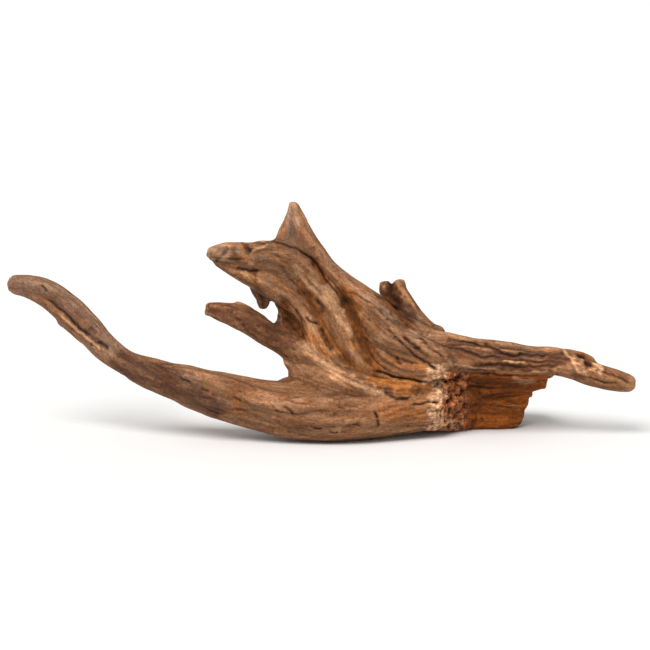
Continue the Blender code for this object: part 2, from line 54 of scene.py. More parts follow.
# How far the ground wore the underside away, in steps.
GROUND_WEAR = 2.4
STRANDS = {
    # The long arm and the trunk that it thickens into, down to the trunk's broken end.
    "long_arm": (
        (-304, 156, 30, 11), (-292, 154, 29, 12), (-272, 146, 26, 13.2), (-252, 130.5, 22, 15),
        (-233, 113, 18, 15), (-213, 92, 14, 13.3), (-192.5, 78, 10, 13), (-162, 65, 6, 16.8),
        (-132, 54.5, 3, 20.8), (-104, 46.5, 0, 23.6), (-72, 39, -1, 24.8), (-42, 32.5, -2, 27.5),
        (-12, 28.8, -3, 29), (18, 28.2, -3, 29.5), (48, 30.5, 2, 28.5), (78, 35, 10, 27), (100, 37, 15, 26),
        (116, 38, 19, 25),
    ),
    "arm_spur": ((-259.5, 119, 22, 4.5), (-250, 115.5, 20, 7.5), (-236, 107, 17, 10)),
    "arm_ridge": (
        (-122, 62, -6, 9), (-92, 53, -12, 11), (-60, 42, -16, 12), (-26, 36, -19, 12), (8, 36, -19, 11),
    ),
    "trunk_core": ((-30, 44, 20, 20), (8, 40, 26, 24), (58, 40, 30, 26), (100, 39, 34, 24)),
    "trunk_end_high": ((82, 52, 8, 14), (98, 51, 12, 12), (107, 50, 16, 10)),
    "trunk_end_low": ((84, 30, 16, 20), (100, 30, 20, 18), (106, 30, 23, 15)),
    "broken_end": ((100, 40, 32, 24), (136, 39, 44, 20)),
    "torn_high": ((104, 54, 14, 11), (122, 54, 22, 12), (140, 55, 36, 12)),
    "torn_mid": ((104, 38, 12, 13), (122, 38, 20, 14), (140, 38, 38, 13)),
    "torn_low": ((104, 22, 16, 12), (122, 22, 24, 13), (142, 22, 38, 12)),
    # The flat finger that points back along the long arm, and the pale lip that runs on from it.
    "finger": (
        (-112, 132.5, 8, 7), (-97, 129, 9, 10.3), (-82, 124.3, 10, 13.2), (-68, 117, 11, 13),
        (-55, 108, 12, 12.5), (-42, 101, 12, 12.5), (-24, 90, 11, 14), (-4, 77, 9, 15), (18, 64, 4, 15),
        (44, 56, -1, 12), (70, 53, -1, 11), (98, 52, 3, 10),
    ),
    "finger_spur": ((-84, 138, 10, 3), (-74, 130, 10, 6)),
    "notch_web": ((-24, 64, 6, 9), (-4, 56, -2, 13), (24, 48, -7, 13), (52, 44, -8, 12)),
    "fork_corner": ((-29.5, 66, 8, 5), (-20, 61, 6, 8)),
    "finger_root": ((-32, 79, 8, 6.5), (-14, 72, 4, 11), (4, 62, -3, 12), (26, 52, -8, 12), (52, 46, -8, 10)),
    # The nose and the two ridges that run down from it.
    "nose_top": (
        (-107, 186.5, 14, 7.2), (-96, 186.8, 13, 10.4), (-80, 186, 12, 12.8), (-62, 184.5, 12, 13.5),
        (-44, 181.5, 12, 13.5), (-26, 174, 13, 14), (-12, 162, 13, 14), (4, 143, 13, 15.5),
        (16, 122, 12, 15.5), (26, 100, 11, 14), (36, 83, 8, 12), (50, 69, 4, 10), (70, 60, 2, 8),
    ),
    "nose_low": (
        (-100, 179, 14, 7.5), (-86, 174, 13, 11), (-72, 168, 12, 13.5), (-55, 161, 12, 15.5),
        (-40, 152.5, 13, 15), (-27, 142, 12, 13), (-16, 129, 11, 12), (-8, 115, 10, 12), (0, 101, 9, 12.5),
        (10, 86, 8, 12), (24, 72, 6, 11), (42, 61, 2, 9),
    ),
    "hook": ((-66, 154, 24, 8), (-60, 143, 26, 7), (-58.5, 136.5, 27, 6.2)),
    "hollow_web": ((-46, 149, 24, 8), (-35.5, 133, 26, 8.5), (-33, 118, 26, 13.5), (-18, 104, 24, 14)),
    "nose_core": (
        (-70, 176, 22, 10), (-44, 164, 26, 14), (-18, 138, 28, 16), (6, 108, 28, 18), (28, 78, 24, 18),
    ),
    # The horn, the top ridge and the short arm that it runs out into.
    "horn_left": (
        (-28.5, 233, 22, 6), (-30.5, 219, 22, 8.2), (-35, 206, 21, 9.8), (-41, 194, 18, 9),
        (-62, 193, 16, 7.5),
    ),
    "horn_right": (
        (-27, 232, 22, 6), (-23.5, 217, 23, 10), (-17.5, 202, 24, 11.5), (-7, 184.5, 25, 12),
        (6, 169, 25, 11), (20, 156.5, 25, 11.5), (36.5, 143.5, 25, 13), (53.5, 130.5, 25, 15),
        (70, 117, 24, 16.5), (88, 106, 22, 16.5), (108, 97, 20, 16), (130, 91, 19, 15),
    ),
    "horn_core": ((-29, 216, 24, 9), (-27, 200, 24, 13), (-16, 184, 26, 13)),
    "short_arm_top": (
        (108, 97, 18, 16), (133, 95, 20, 12), (158, 92, 20, 10.5), (183, 89.5, 20, 9.5), (208, 87, 19, 8),
        (233, 86, 18, 8), (256, 84, 17, 6.8), (267, 80.5, 16, 5.5),
    ),
    "short_arm_low": (
        (103, 88, 12, 15), (133, 83, 8, 12.5), (158, 80, 7, 11), (188, 78.5, 7, 10.5), (218, 76, 8, 10.5),
        (248, 72.5, 9, 11), (270, 67, 11, 11.5), (289, 62, 12, 10.5), (304, 58.5, 13, 8.6),
    ),
    "shoulder_high": (
        (24, 148, 22, 7), (38, 128, 20, 11), (54, 112, 16, 13.5), (74, 99, 11, 15), (98, 90, 8, 15),
        (124, 82, 6, 12),
    ),
    "shoulder_low": (
        (38, 122, 34, 7), (48, 103, 22, 11), (60, 90, 12, 12.5), (78, 80, 7, 14), (102, 75, 5, 13.5),
        (126, 73, 5, 10),
    ),
    # What fills the fan behind its front ridges.
    "fan_core_high": (
        (-18, 176, 34, 11), (10, 141, 36, 15), (38, 104, 38, 19), (60, 74, 36, 24), (98, 55, 34, 26),
        (133, 48, 40, 22),
    ),
    "valley_floor": (
        (-8, 176, 26, 9), (14, 148, 25, 12), (31, 122, 22, 13), (42, 98, 20, 14), (54, 74, 18, 15),
    ),
    "fan_core_low": (
        (-42, 156, 30, 10), (-20, 129, 34, 13), (3, 96, 34, 17), (28, 61, 30, 22), (58, 41, 26, 24),
    ),
    # The broken stub that stands up behind the top ridge, and its way down the back.
    "stub": (
        (109, 98, 38, 18), (93, 116, 43, 15.5), (82.5, 131, 48, 15), (76, 141, 53, 14.5),
        (71.5, 149, 56, 13.5),
    ),
    "stub_peak_right": ((77, 151, 58, 8), (79, 157.5, 58, 6)),
    "stub_peak_left": ((63, 149.5, 58, 6.5), (61.5, 156.5, 58, 5)),
    "stub_knob": ((98, 98, 38, 12), (114, 108, 36, 10)),
    "stub_root": (
        (78, 132, 54, 11), (88, 112, 60, 12), (100, 93, 63, 13), (118, 76, 66, 13), (144, 63, 69, 12),
    ),
    # The block under the short arm, set back from it, with a broken outer edge.
    "foot_core": ((108, 40, 50, 26), (148, 40, 66, 22), (182, 40, 67, 19), (197, 43, 67, 15)),
    "foot_top": ((118, 60, 50, 15), (168, 61, 66, 15), (196, 60, 66, 14), (212, 60, 66, 12)),
    "foot_sole": ((108, 30, 46, 17), (146, 24, 63, 15), (186, 23, 64, 14)),
    "foot_high": ((103, 57, 34, 12), (148, 57, 50, 12), (188, 59, 54, 12), (220, 60, 54, 9.5)),
    "foot_face_high": ((108, 48, 34, 13), (148, 49, 51, 12.5), (188, 50, 55, 12.5), (211, 52, 55, 9)),
    "foot_face_low": ((108, 32, 34, 14), (148, 32, 51, 13.5), (186, 32, 52.5, 13), (198, 33, 53, 11.5)),
    "foot_mid": ((108, 40, 34, 14), (148, 41, 54, 13), (186, 42, 56, 12.5), (207, 43, 56, 10)),
    "foot_low": ((108, 24, 34, 14), (148, 22.5, 48, 14), (178, 22, 49, 14), (192, 22, 50, 12.3)),
    "foot_back_high": ((118, 56, 62, 14), (158, 56, 78, 12), (198, 57, 78, 11), (212, 58, 76, 8)),
    "foot_back_low": ((118, 30, 60, 16), (158, 28, 78, 15), (186, 27, 78, 12)),
    "foot_web": ((128, 76, 34, 16), (168, 73, 38, 12), (208, 70, 38, 10), (227, 69, 36, 7.5)),
    # The back of the fan and the trunk, and the heel that the root stands on behind.
    "back_high": (
        (-18, 198, 27, 5), (-8, 182, 36, 9), (10, 158, 42, 11.5), (31, 130, 46, 12), (54, 104, 51, 13),
        (80, 82, 57, 14), (112, 66, 63, 14), (142, 56, 68, 12),
    ),
    "back_mid": (
        (-36, 180, 22, 5), (-26, 162, 33, 9), (-9, 136, 41, 12), (12, 109, 46, 14), (36, 85, 51, 15),
        (66, 65, 57, 16), (100, 51, 63, 16), (132, 43, 68, 14),
    ),
    "back_low": (
        (-60, 176, 20, 5), (-46, 158, 28, 8), (-30, 132, 35, 10), (-12, 106, 40, 12), (8, 82, 45, 14),
        (36, 60, 49, 16), (70, 45, 53, 18), (104, 37, 58, 18),
    ),
    "trunk_back": ((-84, 43, 6, 15), (-48, 41, 16, 17), (-8, 43, 28, 20), (36, 43, 38, 23), (90, 38, 46, 22)),
    "heel": ((48, 46, 44, 20), (30, 38, 55, 18.5), (13, 30, 66, 16.5), (0, 25.5, 76, 14), (-9, 24.5, 84, 12)),
}
# Where ends broke off: a point of the break, the way it faces (across, up, depth), and its reach in steps.
BREAKS = (
    ((-115, 131, 8), (-1.0, 0.1, -0.2), 16),
    ((314, 57, 14), (1.0, 0.1, -0.1), 16),
    ((-114, 184, 14), (-1.0, 0.2, -0.3), 20),
    ((-15, 22, 90), (-0.7, 0.2, 1.0), 18),
    ((227, 60, 52), (1.0, -0.2, 0.1), 13),
    ((213, 43, 60), (1.0, 0.1, 0.0), 15),
    ((201, 22, 62), (1.0, -0.3, 0.1), 30),
)
BLUNT_STRANDS = ("long_arm",)
TUBE_SIDES = 28
SAMPLE_SPACING = 0.0016
HANDLE_SHARE = 0.39
END_ANGLES = (18, 36, 54, 72, 88)


def placed(drawn):
    """Points of the drawing in metres: x = across, y = depth, z = (up - depth sin tilt) / cos tilt."""
    across, up, depth = np.asarray(drawn, float).T
    height = (up - depth * sin(DRAWING_TILT)) / cos(DRAWING_TILT) - GROUND_WEAR
    return np.stack([across, depth, height], -1) * STEP


def unit(vectors):
    """Each vector divided by its length."""
    return vectors / np.maximum(np.linalg.norm(vectors, axis=-1, keepdims=True), 1e-12)


def strand_path(points):
    """A smooth curve through a strand's points, as (centres, radii).

    Each stretch is a cubic B(t) = (1-t)^3 a + 3(1-t)^2 t b + 3(1-t)t^2 c + t^3 d, whose handles b and c lie
    along the mean direction at their point, HANDLE_SHARE of the stretch's length away from it.
    """
    knots = placed([point[:3] for point in points])
    radii = np.array([point[3] for point in points]) * STEP
    reach = np.linalg.norm(np.diff(knots, axis=0), axis=1)
    ways = unit(np.diff(knots, axis=0))
    tangents = unit(np.concatenate([ways[:1], ways[:-1] + ways[1:], ways[-1:]]))
    centres, widths = [], []
    for i, length in enumerate(reach):
        count = max(2, int(np.ceil(length / SAMPLE_SPACING)))
        t = np.linspace(0, 1, count, endpoint=i == len(reach) - 1)[:, None]
        near = knots[i] + tangents[i] * length * HANDLE_SHARE
        far = knots[i + 1] - tangents[i + 1] * length * HANDLE_SHARE
        curve = (1 - t) ** 3 * knots[i] + 3 * (1 - t) ** 2 * t * near
        centres.append(curve + 3 * (1 - t) * t**2 * far + t**3 * knots[i + 1])
        widths.append(radii[i] + (radii[i + 1] - radii[i]) * t[:, 0])
    return np.concatenate(centres), np.concatenate(widths)


def path_frame(centres):
    """Directions along a path, and two across it: side = along x depth axis, lift = side x along."""
    along = unit(np.gradient(centres, axis=0))
    side = unit(np.cross(along, (0, 1, 0)))
    return along, side, np.cross(side, along)


def strand_tube(points, blunt):
    """A strand's tube, with round ends, or with its last one blunt.

    Its rings are p(s, a) = c(s) + r(s) (side(s) cos a + lift(s) sin a).
    """
    centres, radii = strand_path(points)
    along, side, lift = path_frame(centres)
    bend = np.radians(END_ANGLES)
    head = centres[0] - along[0] * radii[0] * np.sin(bend[::-1, None])
    tail = centres[-1] + along[-1] * radii[-1] * np.sin(bend[:, None])
    if blunt:
        tail = np.repeat(centres[-1:], len(bend), 0)
    middle = np.concatenate([head, centres, tail])
    width = np.concatenate([radii[0] * np.cos(bend[::-1]), radii, radii[-1] * np.cos(bend)])
    side, lift = (np.pad(way, ((len(bend), len(bend)), (0, 0)), "edge") for way in (side, lift))
    turn = np.linspace(0, 2 * np.pi, TUBE_SIDES, endpoint=False)[None, :, None]
    ring = side[:, None] * np.cos(turn) + lift[:, None] * np.sin(turn)
    spots = (middle[:, None] + width[:, None, None] * ring).reshape(-1, 3)
    row = np.arange(len(middle) - 1)[:, None] * TUBE_SIDES
    here = np.arange(TUBE_SIDES)[None]
    there = (here + 1) % TUBE_SIDES
    after = row + TUBE_SIDES
    quads = np.stack([row + here, after + here, after + there, row + there], -1).reshape(-1, 4)
    first = list(range(TUBE_SIDES))
    last = list(range(len(spots) - 1, len(spots) - 1 - TUBE_SIDES, -1))
    return spots, quads.tolist() + [first, last]


def mesh_of(name, points, faces):
    """A mesh of these points and faces."""
    mesh = bpy.data.meshes.new(name)
    mesh.from_pydata(points.tolist(), [], faces)
    mesh.update()
    return mesh


def add_object(name, data):
    """An object of the scene that holds this data."""
    added = bpy.data.objects.new(name, data)
    bpy.context.scene.collection.objects.link(added)
    return added


all_points, all_faces, offset = [], [], 0
for strand_name, strand in STRANDS.items():
    tube_points, tube_faces = strand_tube(strand, strand_name in BLUNT_STRANDS)
    all_points.append(tube_points)
    all_faces += [[corner + offset for corner in face] for face in tube_faces]
    offset += len(tube_points)
bundle = add_object("strand_bundle", mesh_of("strand_bundle", np.concatenate(all_points), all_faces))

# The fused wood. The tubes are grown together into one skin of even small faces, and what is sealed inside
# is dropped. The skin is relaxed, its creases are filled as wood grows over them, and it gets low lumps.

FUSE_VOXEL = 0.0020
SMOOTH_ROUNDS = 4
FILL_ROUNDS = 15
FACE_FILL_ROUNDS = 105
FILL_BATCH = 15
FILL_SHARE = 0.6
BACK_SHARE = 0.1
FACING_ROUNDS = 4
FILL_FACING = (0.3, 0.7)
TOWARD = np.array([0, -cos(DRAWING_TILT), sin(DRAWING_TILT)])
LUMP_SIZE = 0.030
LUMP_HEIGHT = 0.0013
SKIN = 0.0003
NOISE_WAVE = (127.1, 311.7, 74.7)
NOISE_SEED_STEP = 53.9
NOISE_SCALE = 43758.5453


def applied(changed):
    """The object's mesh with its modifiers applied."""
    graph = bpy.context.evaluated_depsgraph_get()
    graph.update()
    return bpy.data.meshes.new_from_object(changed.evaluated_get(graph))


def mesh_arrays(mesh):
    """A mesh's points, and its four-cornered faces, as arrays."""
    points = np.empty(len(mesh.vertices) * 3)
    mesh.vertices.foreach_get("co", points)
    corners = np.empty(len(mesh.loops), np.int32)
    mesh.loops.foreach_get("vertex_index", corners)
    return points.reshape(-1, 3), corners.reshape(-1, 4)


def largest_shell(count, quads):
    """Marks the points of the surface with the most points: each point takes its neighbours' lowest label."""
    label = np.arange(count)
    pairs = np.concatenate([quads[:, [0, 1]], quads[:, [1, 2]], quads[:, [2, 3]]])
    while True:
        before = label.copy()
        lowest = np.minimum(label[pairs[:, 0]], label[pairs[:, 1]])
        np.minimum.at(label, pairs[:, 0], lowest)
        np.minimum.at(label, pairs[:, 1], lowest)
        label = label[label]
        if (label == before).all():
            return label == np.bincount(label).argmax()


def edges_of(quads):
    """Each edge once, as a pair of points."""
    pairs = np.concatenate([quads[:, [0, 1]], quads[:, [1, 2]], quads[:, [2, 3]], quads[:, [3, 0]]])
    return np.unique(np.sort(pairs, axis=1), axis=0)


def relaxed(values, edges, rounds, share=0.5):
    """Values moved towards the mean of their neighbours: v + share (mean(v) - v), a number of rounds."""
    values = np.array(values, float)
    columns = values.reshape(len(values), -1)
    ends, others = np.concatenate([edges, edges[:, ::-1]]).T
    degree = np.bincount(ends, minlength=len(values))[:, None]
    for _ in range(rounds):
        total = np.stack([np.bincount(ends, column[others], len(values)) for column in columns.T], -1)
        columns += share * (total / degree - columns)
    return values


def surface_normals(points, quads):
    """Each point's normal: the sum of its faces' crossed diagonals."""
    a, b, c, d = (points[quads[:, i]] for i in range(4))
    facing = np.cross(c - a, d - b)
    total = np.zeros_like(points)
    for corner in range(4):
        for axis in range(3):
            total[:, axis] += np.bincount(quads[:, corner], facing[:, axis], len(points))
    return unit(total)


def ramp(values, low, high):
    """0 below low, 1 above high, smooth in between: 3 t^2 - 2 t^3."""
    t = np.clip((values - low) / (high - low), 0, 1)
    return t * t * (3 - 2 * t)


def filled(points, quads, edges, rounds, faces_only):
    """Creases filled as wood grows over them: a point moves out to its neighbours' mean, never in.

    Where only the faces are filled, the edges of the drawing's outline stay, since the front and back are
    broad and the wood has closed over there.
    """
    for _ in range(0, rounds, FILL_BATCH):
        normals = surface_normals(points, quads)
        facing = relaxed(normals, edges, FACING_ROUNDS) @ TOWARD
        weight = ramp(facing, *FILL_FACING) + BACK_SHARE * ramp(-facing, *FILL_FACING) if faces_only else 1
        for _ in range(FILL_BATCH):
            rise = ((relaxed(points, edges, 1, 1.0) - points) * normals).sum(1)
            points = points + (FILL_SHARE * weight * np.maximum(rise, 0))[:, None] * normals
    return points


def noise(points, seed):
    """Value noise from -1 to 1.

    The fraction of NOISE_SCALE sin(x) gives each whole-numbered corner its number, and the corners' numbers
    are blended by 3 t^2 - 2 t^3 in between.
    """
    cell = np.floor(points)
    share = points - cell
    share = share * share * (3 - 2 * share)
    total = np.zeros(len(points))
    for corner in np.ndindex(2, 2, 2):
        wave = np.sin((cell + corner) @ NOISE_WAVE + seed * NOISE_SEED_STEP) * NOISE_SCALE
        total += np.prod(np.where(corner, share, 1 - share), axis=1) * (2 * (wave - np.floor(wave)) - 1)
    return total


def layered(points, size, seed, finer=2.0, share=0.5):
    """Noise with a finer one over it: noise(points / size) + share noise(finer points / size)."""
    return noise(points / size, seed) + share * noise(points / size * finer, seed + 1)


fuse = bundle.modifiers.new("fuse", "REMESH")
fuse.mode = "VOXEL"
fuse.voxel_size = FUSE_VOXEL
fused = applied(bundle)
bpy.data.objects.remove(bundle)
points, quads = mesh_arrays(fused)
bpy.data.meshes.remove(fused)
kept = largest_shell(len(points), quads)
quads = (np.cumsum(kept) - 1)[quads[kept[quads[:, 0]]]]
points = points[kept]
edges = edges_of(quads)

points = relaxed(points, edges, SMOOTH_ROUNDS)
points = filled(points, quads, edges, FILL_ROUNDS, False)
points = filled(points, quads, edges, FACE_FILL_ROUNDS, True)
normals = surface_normals(points, quads)
points += normals * layered(points, LUMP_SIZE, 1)[:, None] * LUMP_HEIGHT

# Each face is parted into four, so that the fine relief has points enough, and the skin is brought out by
# what the smoothing took.
coarse = add_object("coarse_root", mesh_of("coarse_root", points, quads.tolist()))
finer = coarse.modifiers.new("finer", "SUBSURF")
finer.levels = finer.render_levels = 1
parted = applied(coarse)
bpy.data.objects.remove(coarse)
points, quads = mesh_arrays(parted)
bpy.data.meshes.remove(parted)
edges = edges_of(quads)
points += surface_normals(points, quads) * SKIN

# The strands' own directions. Every point of the skin learns which strand it belongs to, how far along it and
# which way round, so that grain, cracks and flutes run with the wood, and creases lie where two strands meet.

PATH_SPACING = 0.004
STRAND_REACH = 0.008
SERIES_SHIFT = 0.37
FAR_AWAY = 1.0
GRAINLESS = (
    "arm_spur", "trunk_end_high", "trunk_end_low", "horn_left", "foot_face_high", "foot_face_low", "foot_top",
    "notch_web", "fork_corner", "hollow_web",
)


def strand_coordinates(points):
    """The two nearest strands of each point.

    Returns the distances from their surfaces, the grain places (run along the strand, and the offset from its
    middle along side and lift) and the directions away from their middles.
    """
    far = np.full((2, len(points)), FAR_AWAY)
    places = np.zeros((2, len(points), 3))
    away = np.zeros((2, len(points), 3))
    grained = [strand for name, strand in STRANDS.items() if name not in GRAINLESS]
    for number, strand in enumerate(grained):
        centres, radii = strand_path(strand)
        step = max(1, int(PATH_SPACING / SAMPLE_SPACING))
        pick = np.unique(np.append(np.arange(0, len(centres), step), len(centres) - 1))
        centres, radii = centres[pick], radii[pick]
        along, side, lift = path_frame(centres)
        run = np.append(0, np.cumsum(np.linalg.norm(np.diff(centres, axis=0), axis=1)))
        margin = radii.max() + STRAND_REACH
        inside = ((points > centres.min(0) - margin) & (points < centres.max(0) + margin)).all(1)
        index = np.flatnonzero(inside)
        start, stretch = centres[:-1], np.diff(centres, axis=0)
        gap = points[index, None] - start[None]
        reached = (gap * stretch).sum(-1) / (stretch**2).sum(-1)
        share = np.clip(reached, 0, 1)
        surface = radii[:-1] + share * np.diff(radii)
        signed = np.linalg.norm(gap - share[..., None] * stretch, axis=-1) - surface
        best = signed.argmin(1)
        rows = np.arange(len(index))
        signed, share = signed[rows, best], share[rows, best]
        past_start = (best == 0) & (reached[:, 0] < 0)
        past_end = (best == len(stretch) - 1) & (reached[:, -1] > 1)
        share = np.where(past_start | past_end, reached[rows, best], share)
        offset = gap[rows, best] - share[:, None] * stretch[best]
        place = np.stack([
            run[best] + share * np.diff(run)[best] + number * SERIES_SHIFT,
            (offset * side[best]).sum(1),
            (offset * lift[best]).sum(1),
        ], -1)
        direction = unit(offset)
        nearest = signed < far[0, index]
        second = ~nearest & (signed < far[1, index])
        for store in (far, places, away):
            store[1, index[nearest]] = store[0, index[nearest]]
        for slot, chosen in ((0, nearest), (1, second)):
            far[slot, index[chosen]] = signed[chosen]
            places[slot, index[chosen]] = place[chosen]
            away[slot, index[chosen]] = direction[chosen]
    return far, places, away


far, grain, away = strand_coordinates(points)
seam_gap = far[1] - far[0]
fold = 1 - (away[0] * away[1]).sum(-1)

# Weathering. Water and sand opened the seams between strands, wore the soft wood out between the hard rings
# and left long shallow flutes, drying cracks and pits, all along the grain. Broken ends are rough.

SEAM_DEPTH = 0.0004
SEAM_WIDTH = 0.0020
SEAM_FOLD = (0.03, 0.40)
BLEND_WIDTH = 0.003
FLUTES = ((0.050, 0.0085, 0.0011), (0.022, 0.0042, 0.0008), (0.010, 0.0022, 0.00045))
BROADSIDE = (0.25, 0.75)
OUTLINE_SHARE = 0.3
GROOVES = ((0.060, 0.0080, 0.12, 0.0006), (0.026, 0.0042, 0.15, 0.0003))
GROOVE_PATCH = 0.025
GROOVE_PATCHES = (-0.3, 0.5)
PIT_CELL = (0.0050, 0.0026)
PIT_CORES = (0.42, 0.80)
PIT_PATCH = 0.022
PIT_PATCHES = (-0.25, 0.35)
PIT_DEPTH = 0.0005
CHIP_SIZE = 0.0034
CHIP_DEPTH = 0.0010
BREAK_BAND = 0.0035
BREAK_ROUNDS = 2
NORMAL_ROUNDS = 3
# The trunk's rim, which is worn round: its place across, half width, top and fade in steps.
RIM_ACROSS = 116
RIM_WIDTH = 7
RIM_TOP = 70
RIM_FADE = 8
RIM_FACING = (-0.2, 0.3)
RIM_ROUNDS = 60
# The notch between the peaks of the stub's crown, in steps.
CROWN_DIP = 70
CROWN_DIP_WIDTH = 2.8
CROWN_DIP_DEPTH = 4.5
CROWN_HEIGHTS = (138, 150)


def grain_noise(length, width, seed):
    """Noise drawn out along the grain, length by width a cell, blended between strands near their seam."""
    first, second = (noise(place / (length, width, width), seed) for place in grain)
    share = 0.5 + 0.5 * ramp(seam_gap, 0, BLEND_WIDTH)
    return share * first + (1 - share) * second


def bell(distance, width):
    """1 at no distance, and less away from it: exp(-(distance / width)^2)."""
    return np.exp(-((distance / width) ** 2))


worn = bell(points[:, 0] / STEP - RIM_ACROSS, RIM_WIDTH) * ramp(RIM_TOP - points[:, 2] / STEP, 0, RIM_FADE)
worn *= ramp(surface_normals(points, quads) @ TOWARD, *RIM_FACING)
points += worn[:, None] * (relaxed(points, edges, RIM_ROUNDS) - points)
normals = relaxed(surface_normals(points, quads), edges, NORMAL_ROUNDS)
depth_in = ramp(fold, *SEAM_FOLD) * np.exp(-seam_gap / SEAM_WIDTH) * SEAM_DEPTH
broadside = OUTLINE_SHARE + (1 - OUTLINE_SHARE) * ramp(abs(normals @ TOWARD), *BROADSIDE)
for seed, (length, width, height) in enumerate(FLUTES, 11):
    depth_in += grain_noise(length, width, seed) * height * broadside
drying = np.zeros(len(points))
for seed, (length, width, half_width, height) in enumerate(GROOVES, 41):
    patchy = ramp(noise(points / GROOVE_PATCH, seed + 4), *GROOVE_PATCHES)
    groove = bell(grain_noise(length, width, seed), half_width) * patchy
    depth_in += groove * height
    drying = np.maximum(drying, groove)
pits = ramp(grain_noise(*PIT_CELL, 17), *PIT_CORES) * ramp(noise(points / PIT_PATCH, 18), *PIT_PATCHES)
depth_in += pits * PIT_DEPTH
broken = np.zeros(len(points))
for place, facing, reach in BREAKS:
    middle = placed([place])[0]
    outward = unit(np.array([facing[0], facing[2], facing[1]]))
    past = (points - middle) @ outward
    near = np.linalg.norm(points - middle, axis=1) < reach * STEP
    broken = np.maximum(broken, near * ramp(past, -BREAK_BAND, 0))
    points -= np.where(near & (past > 0), past, 0)[:, None] * outward
dip = bell(points[:, 0] / STEP - CROWN_DIP, CROWN_DIP_WIDTH) * ramp(points[:, 2] / STEP, *CROWN_HEIGHTS)
points[:, 2] -= CROWN_DIP_DEPTH * STEP * dip
chips = layered(points, CHIP_SIZE, 31, finer=2.1, share=0.6)
depth_in += relaxed(broken, edges, BREAK_ROUNDS) * chips * CHIP_DEPTH

# Centred on the frame's node, whose box the root fills.
low, high = (np.array(corner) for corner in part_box("kapas_root"))
shift = (low + high - points.min(0) - points.max(0)) / 2
shift[2] = 0
points += shift

# The root's own marks, on its front: folds and hollows first, then cracks, grooves, lips and knobs. Each is
# a half width, a depth (raised where it is negative) and a line on the drawing, all in steps. They are
# pushed in along the view of the drawing, and warped a little, so that no line runs true.

FOLDS = (
    # The valleys between the ridges, and the leaf-shaped hollow.
    (5.5, 4.2, ((-14, 184), (-6, 176), (3, 162), (11, 152), (20, 143), (28, 132))),
    (7.5, 6.0, ((18, 146), (27, 133), (35, 118), (43, 100), (48, 84), (52, 72))),
    (5.5, 4.6, ((-22, 159), (-11, 141), (-2, 124), (4, 112), (13, 96), (23, 82), (38, 71))),
    (6.0, 5.5, ((-37, 136), (-31, 122), (-20, 106))),
    # The hollow face of the stub.
    (8.5, 7.0, ((66, 144), (76, 132), (86, 118))),
    (5.0, 6.0, ((68, 158), (72, 146), (78, 134))),
    # The furrow under the shoulder, the dip above the pale lip, the lip and the knob.
    (9.0, 3.5, ((46, 66), (62, 60), (84, 56), (104, 52))),
    (4.0, 2.4, ((0, 110), (5, 100), (8, 94))),
    (4.5, -2.6, ((-12, 90), (0, 82), (10, 73), (23, 63), (36, 57), (50, 54))),
    (6.5, -4.5, ((74, 52), (84, 52))),
)
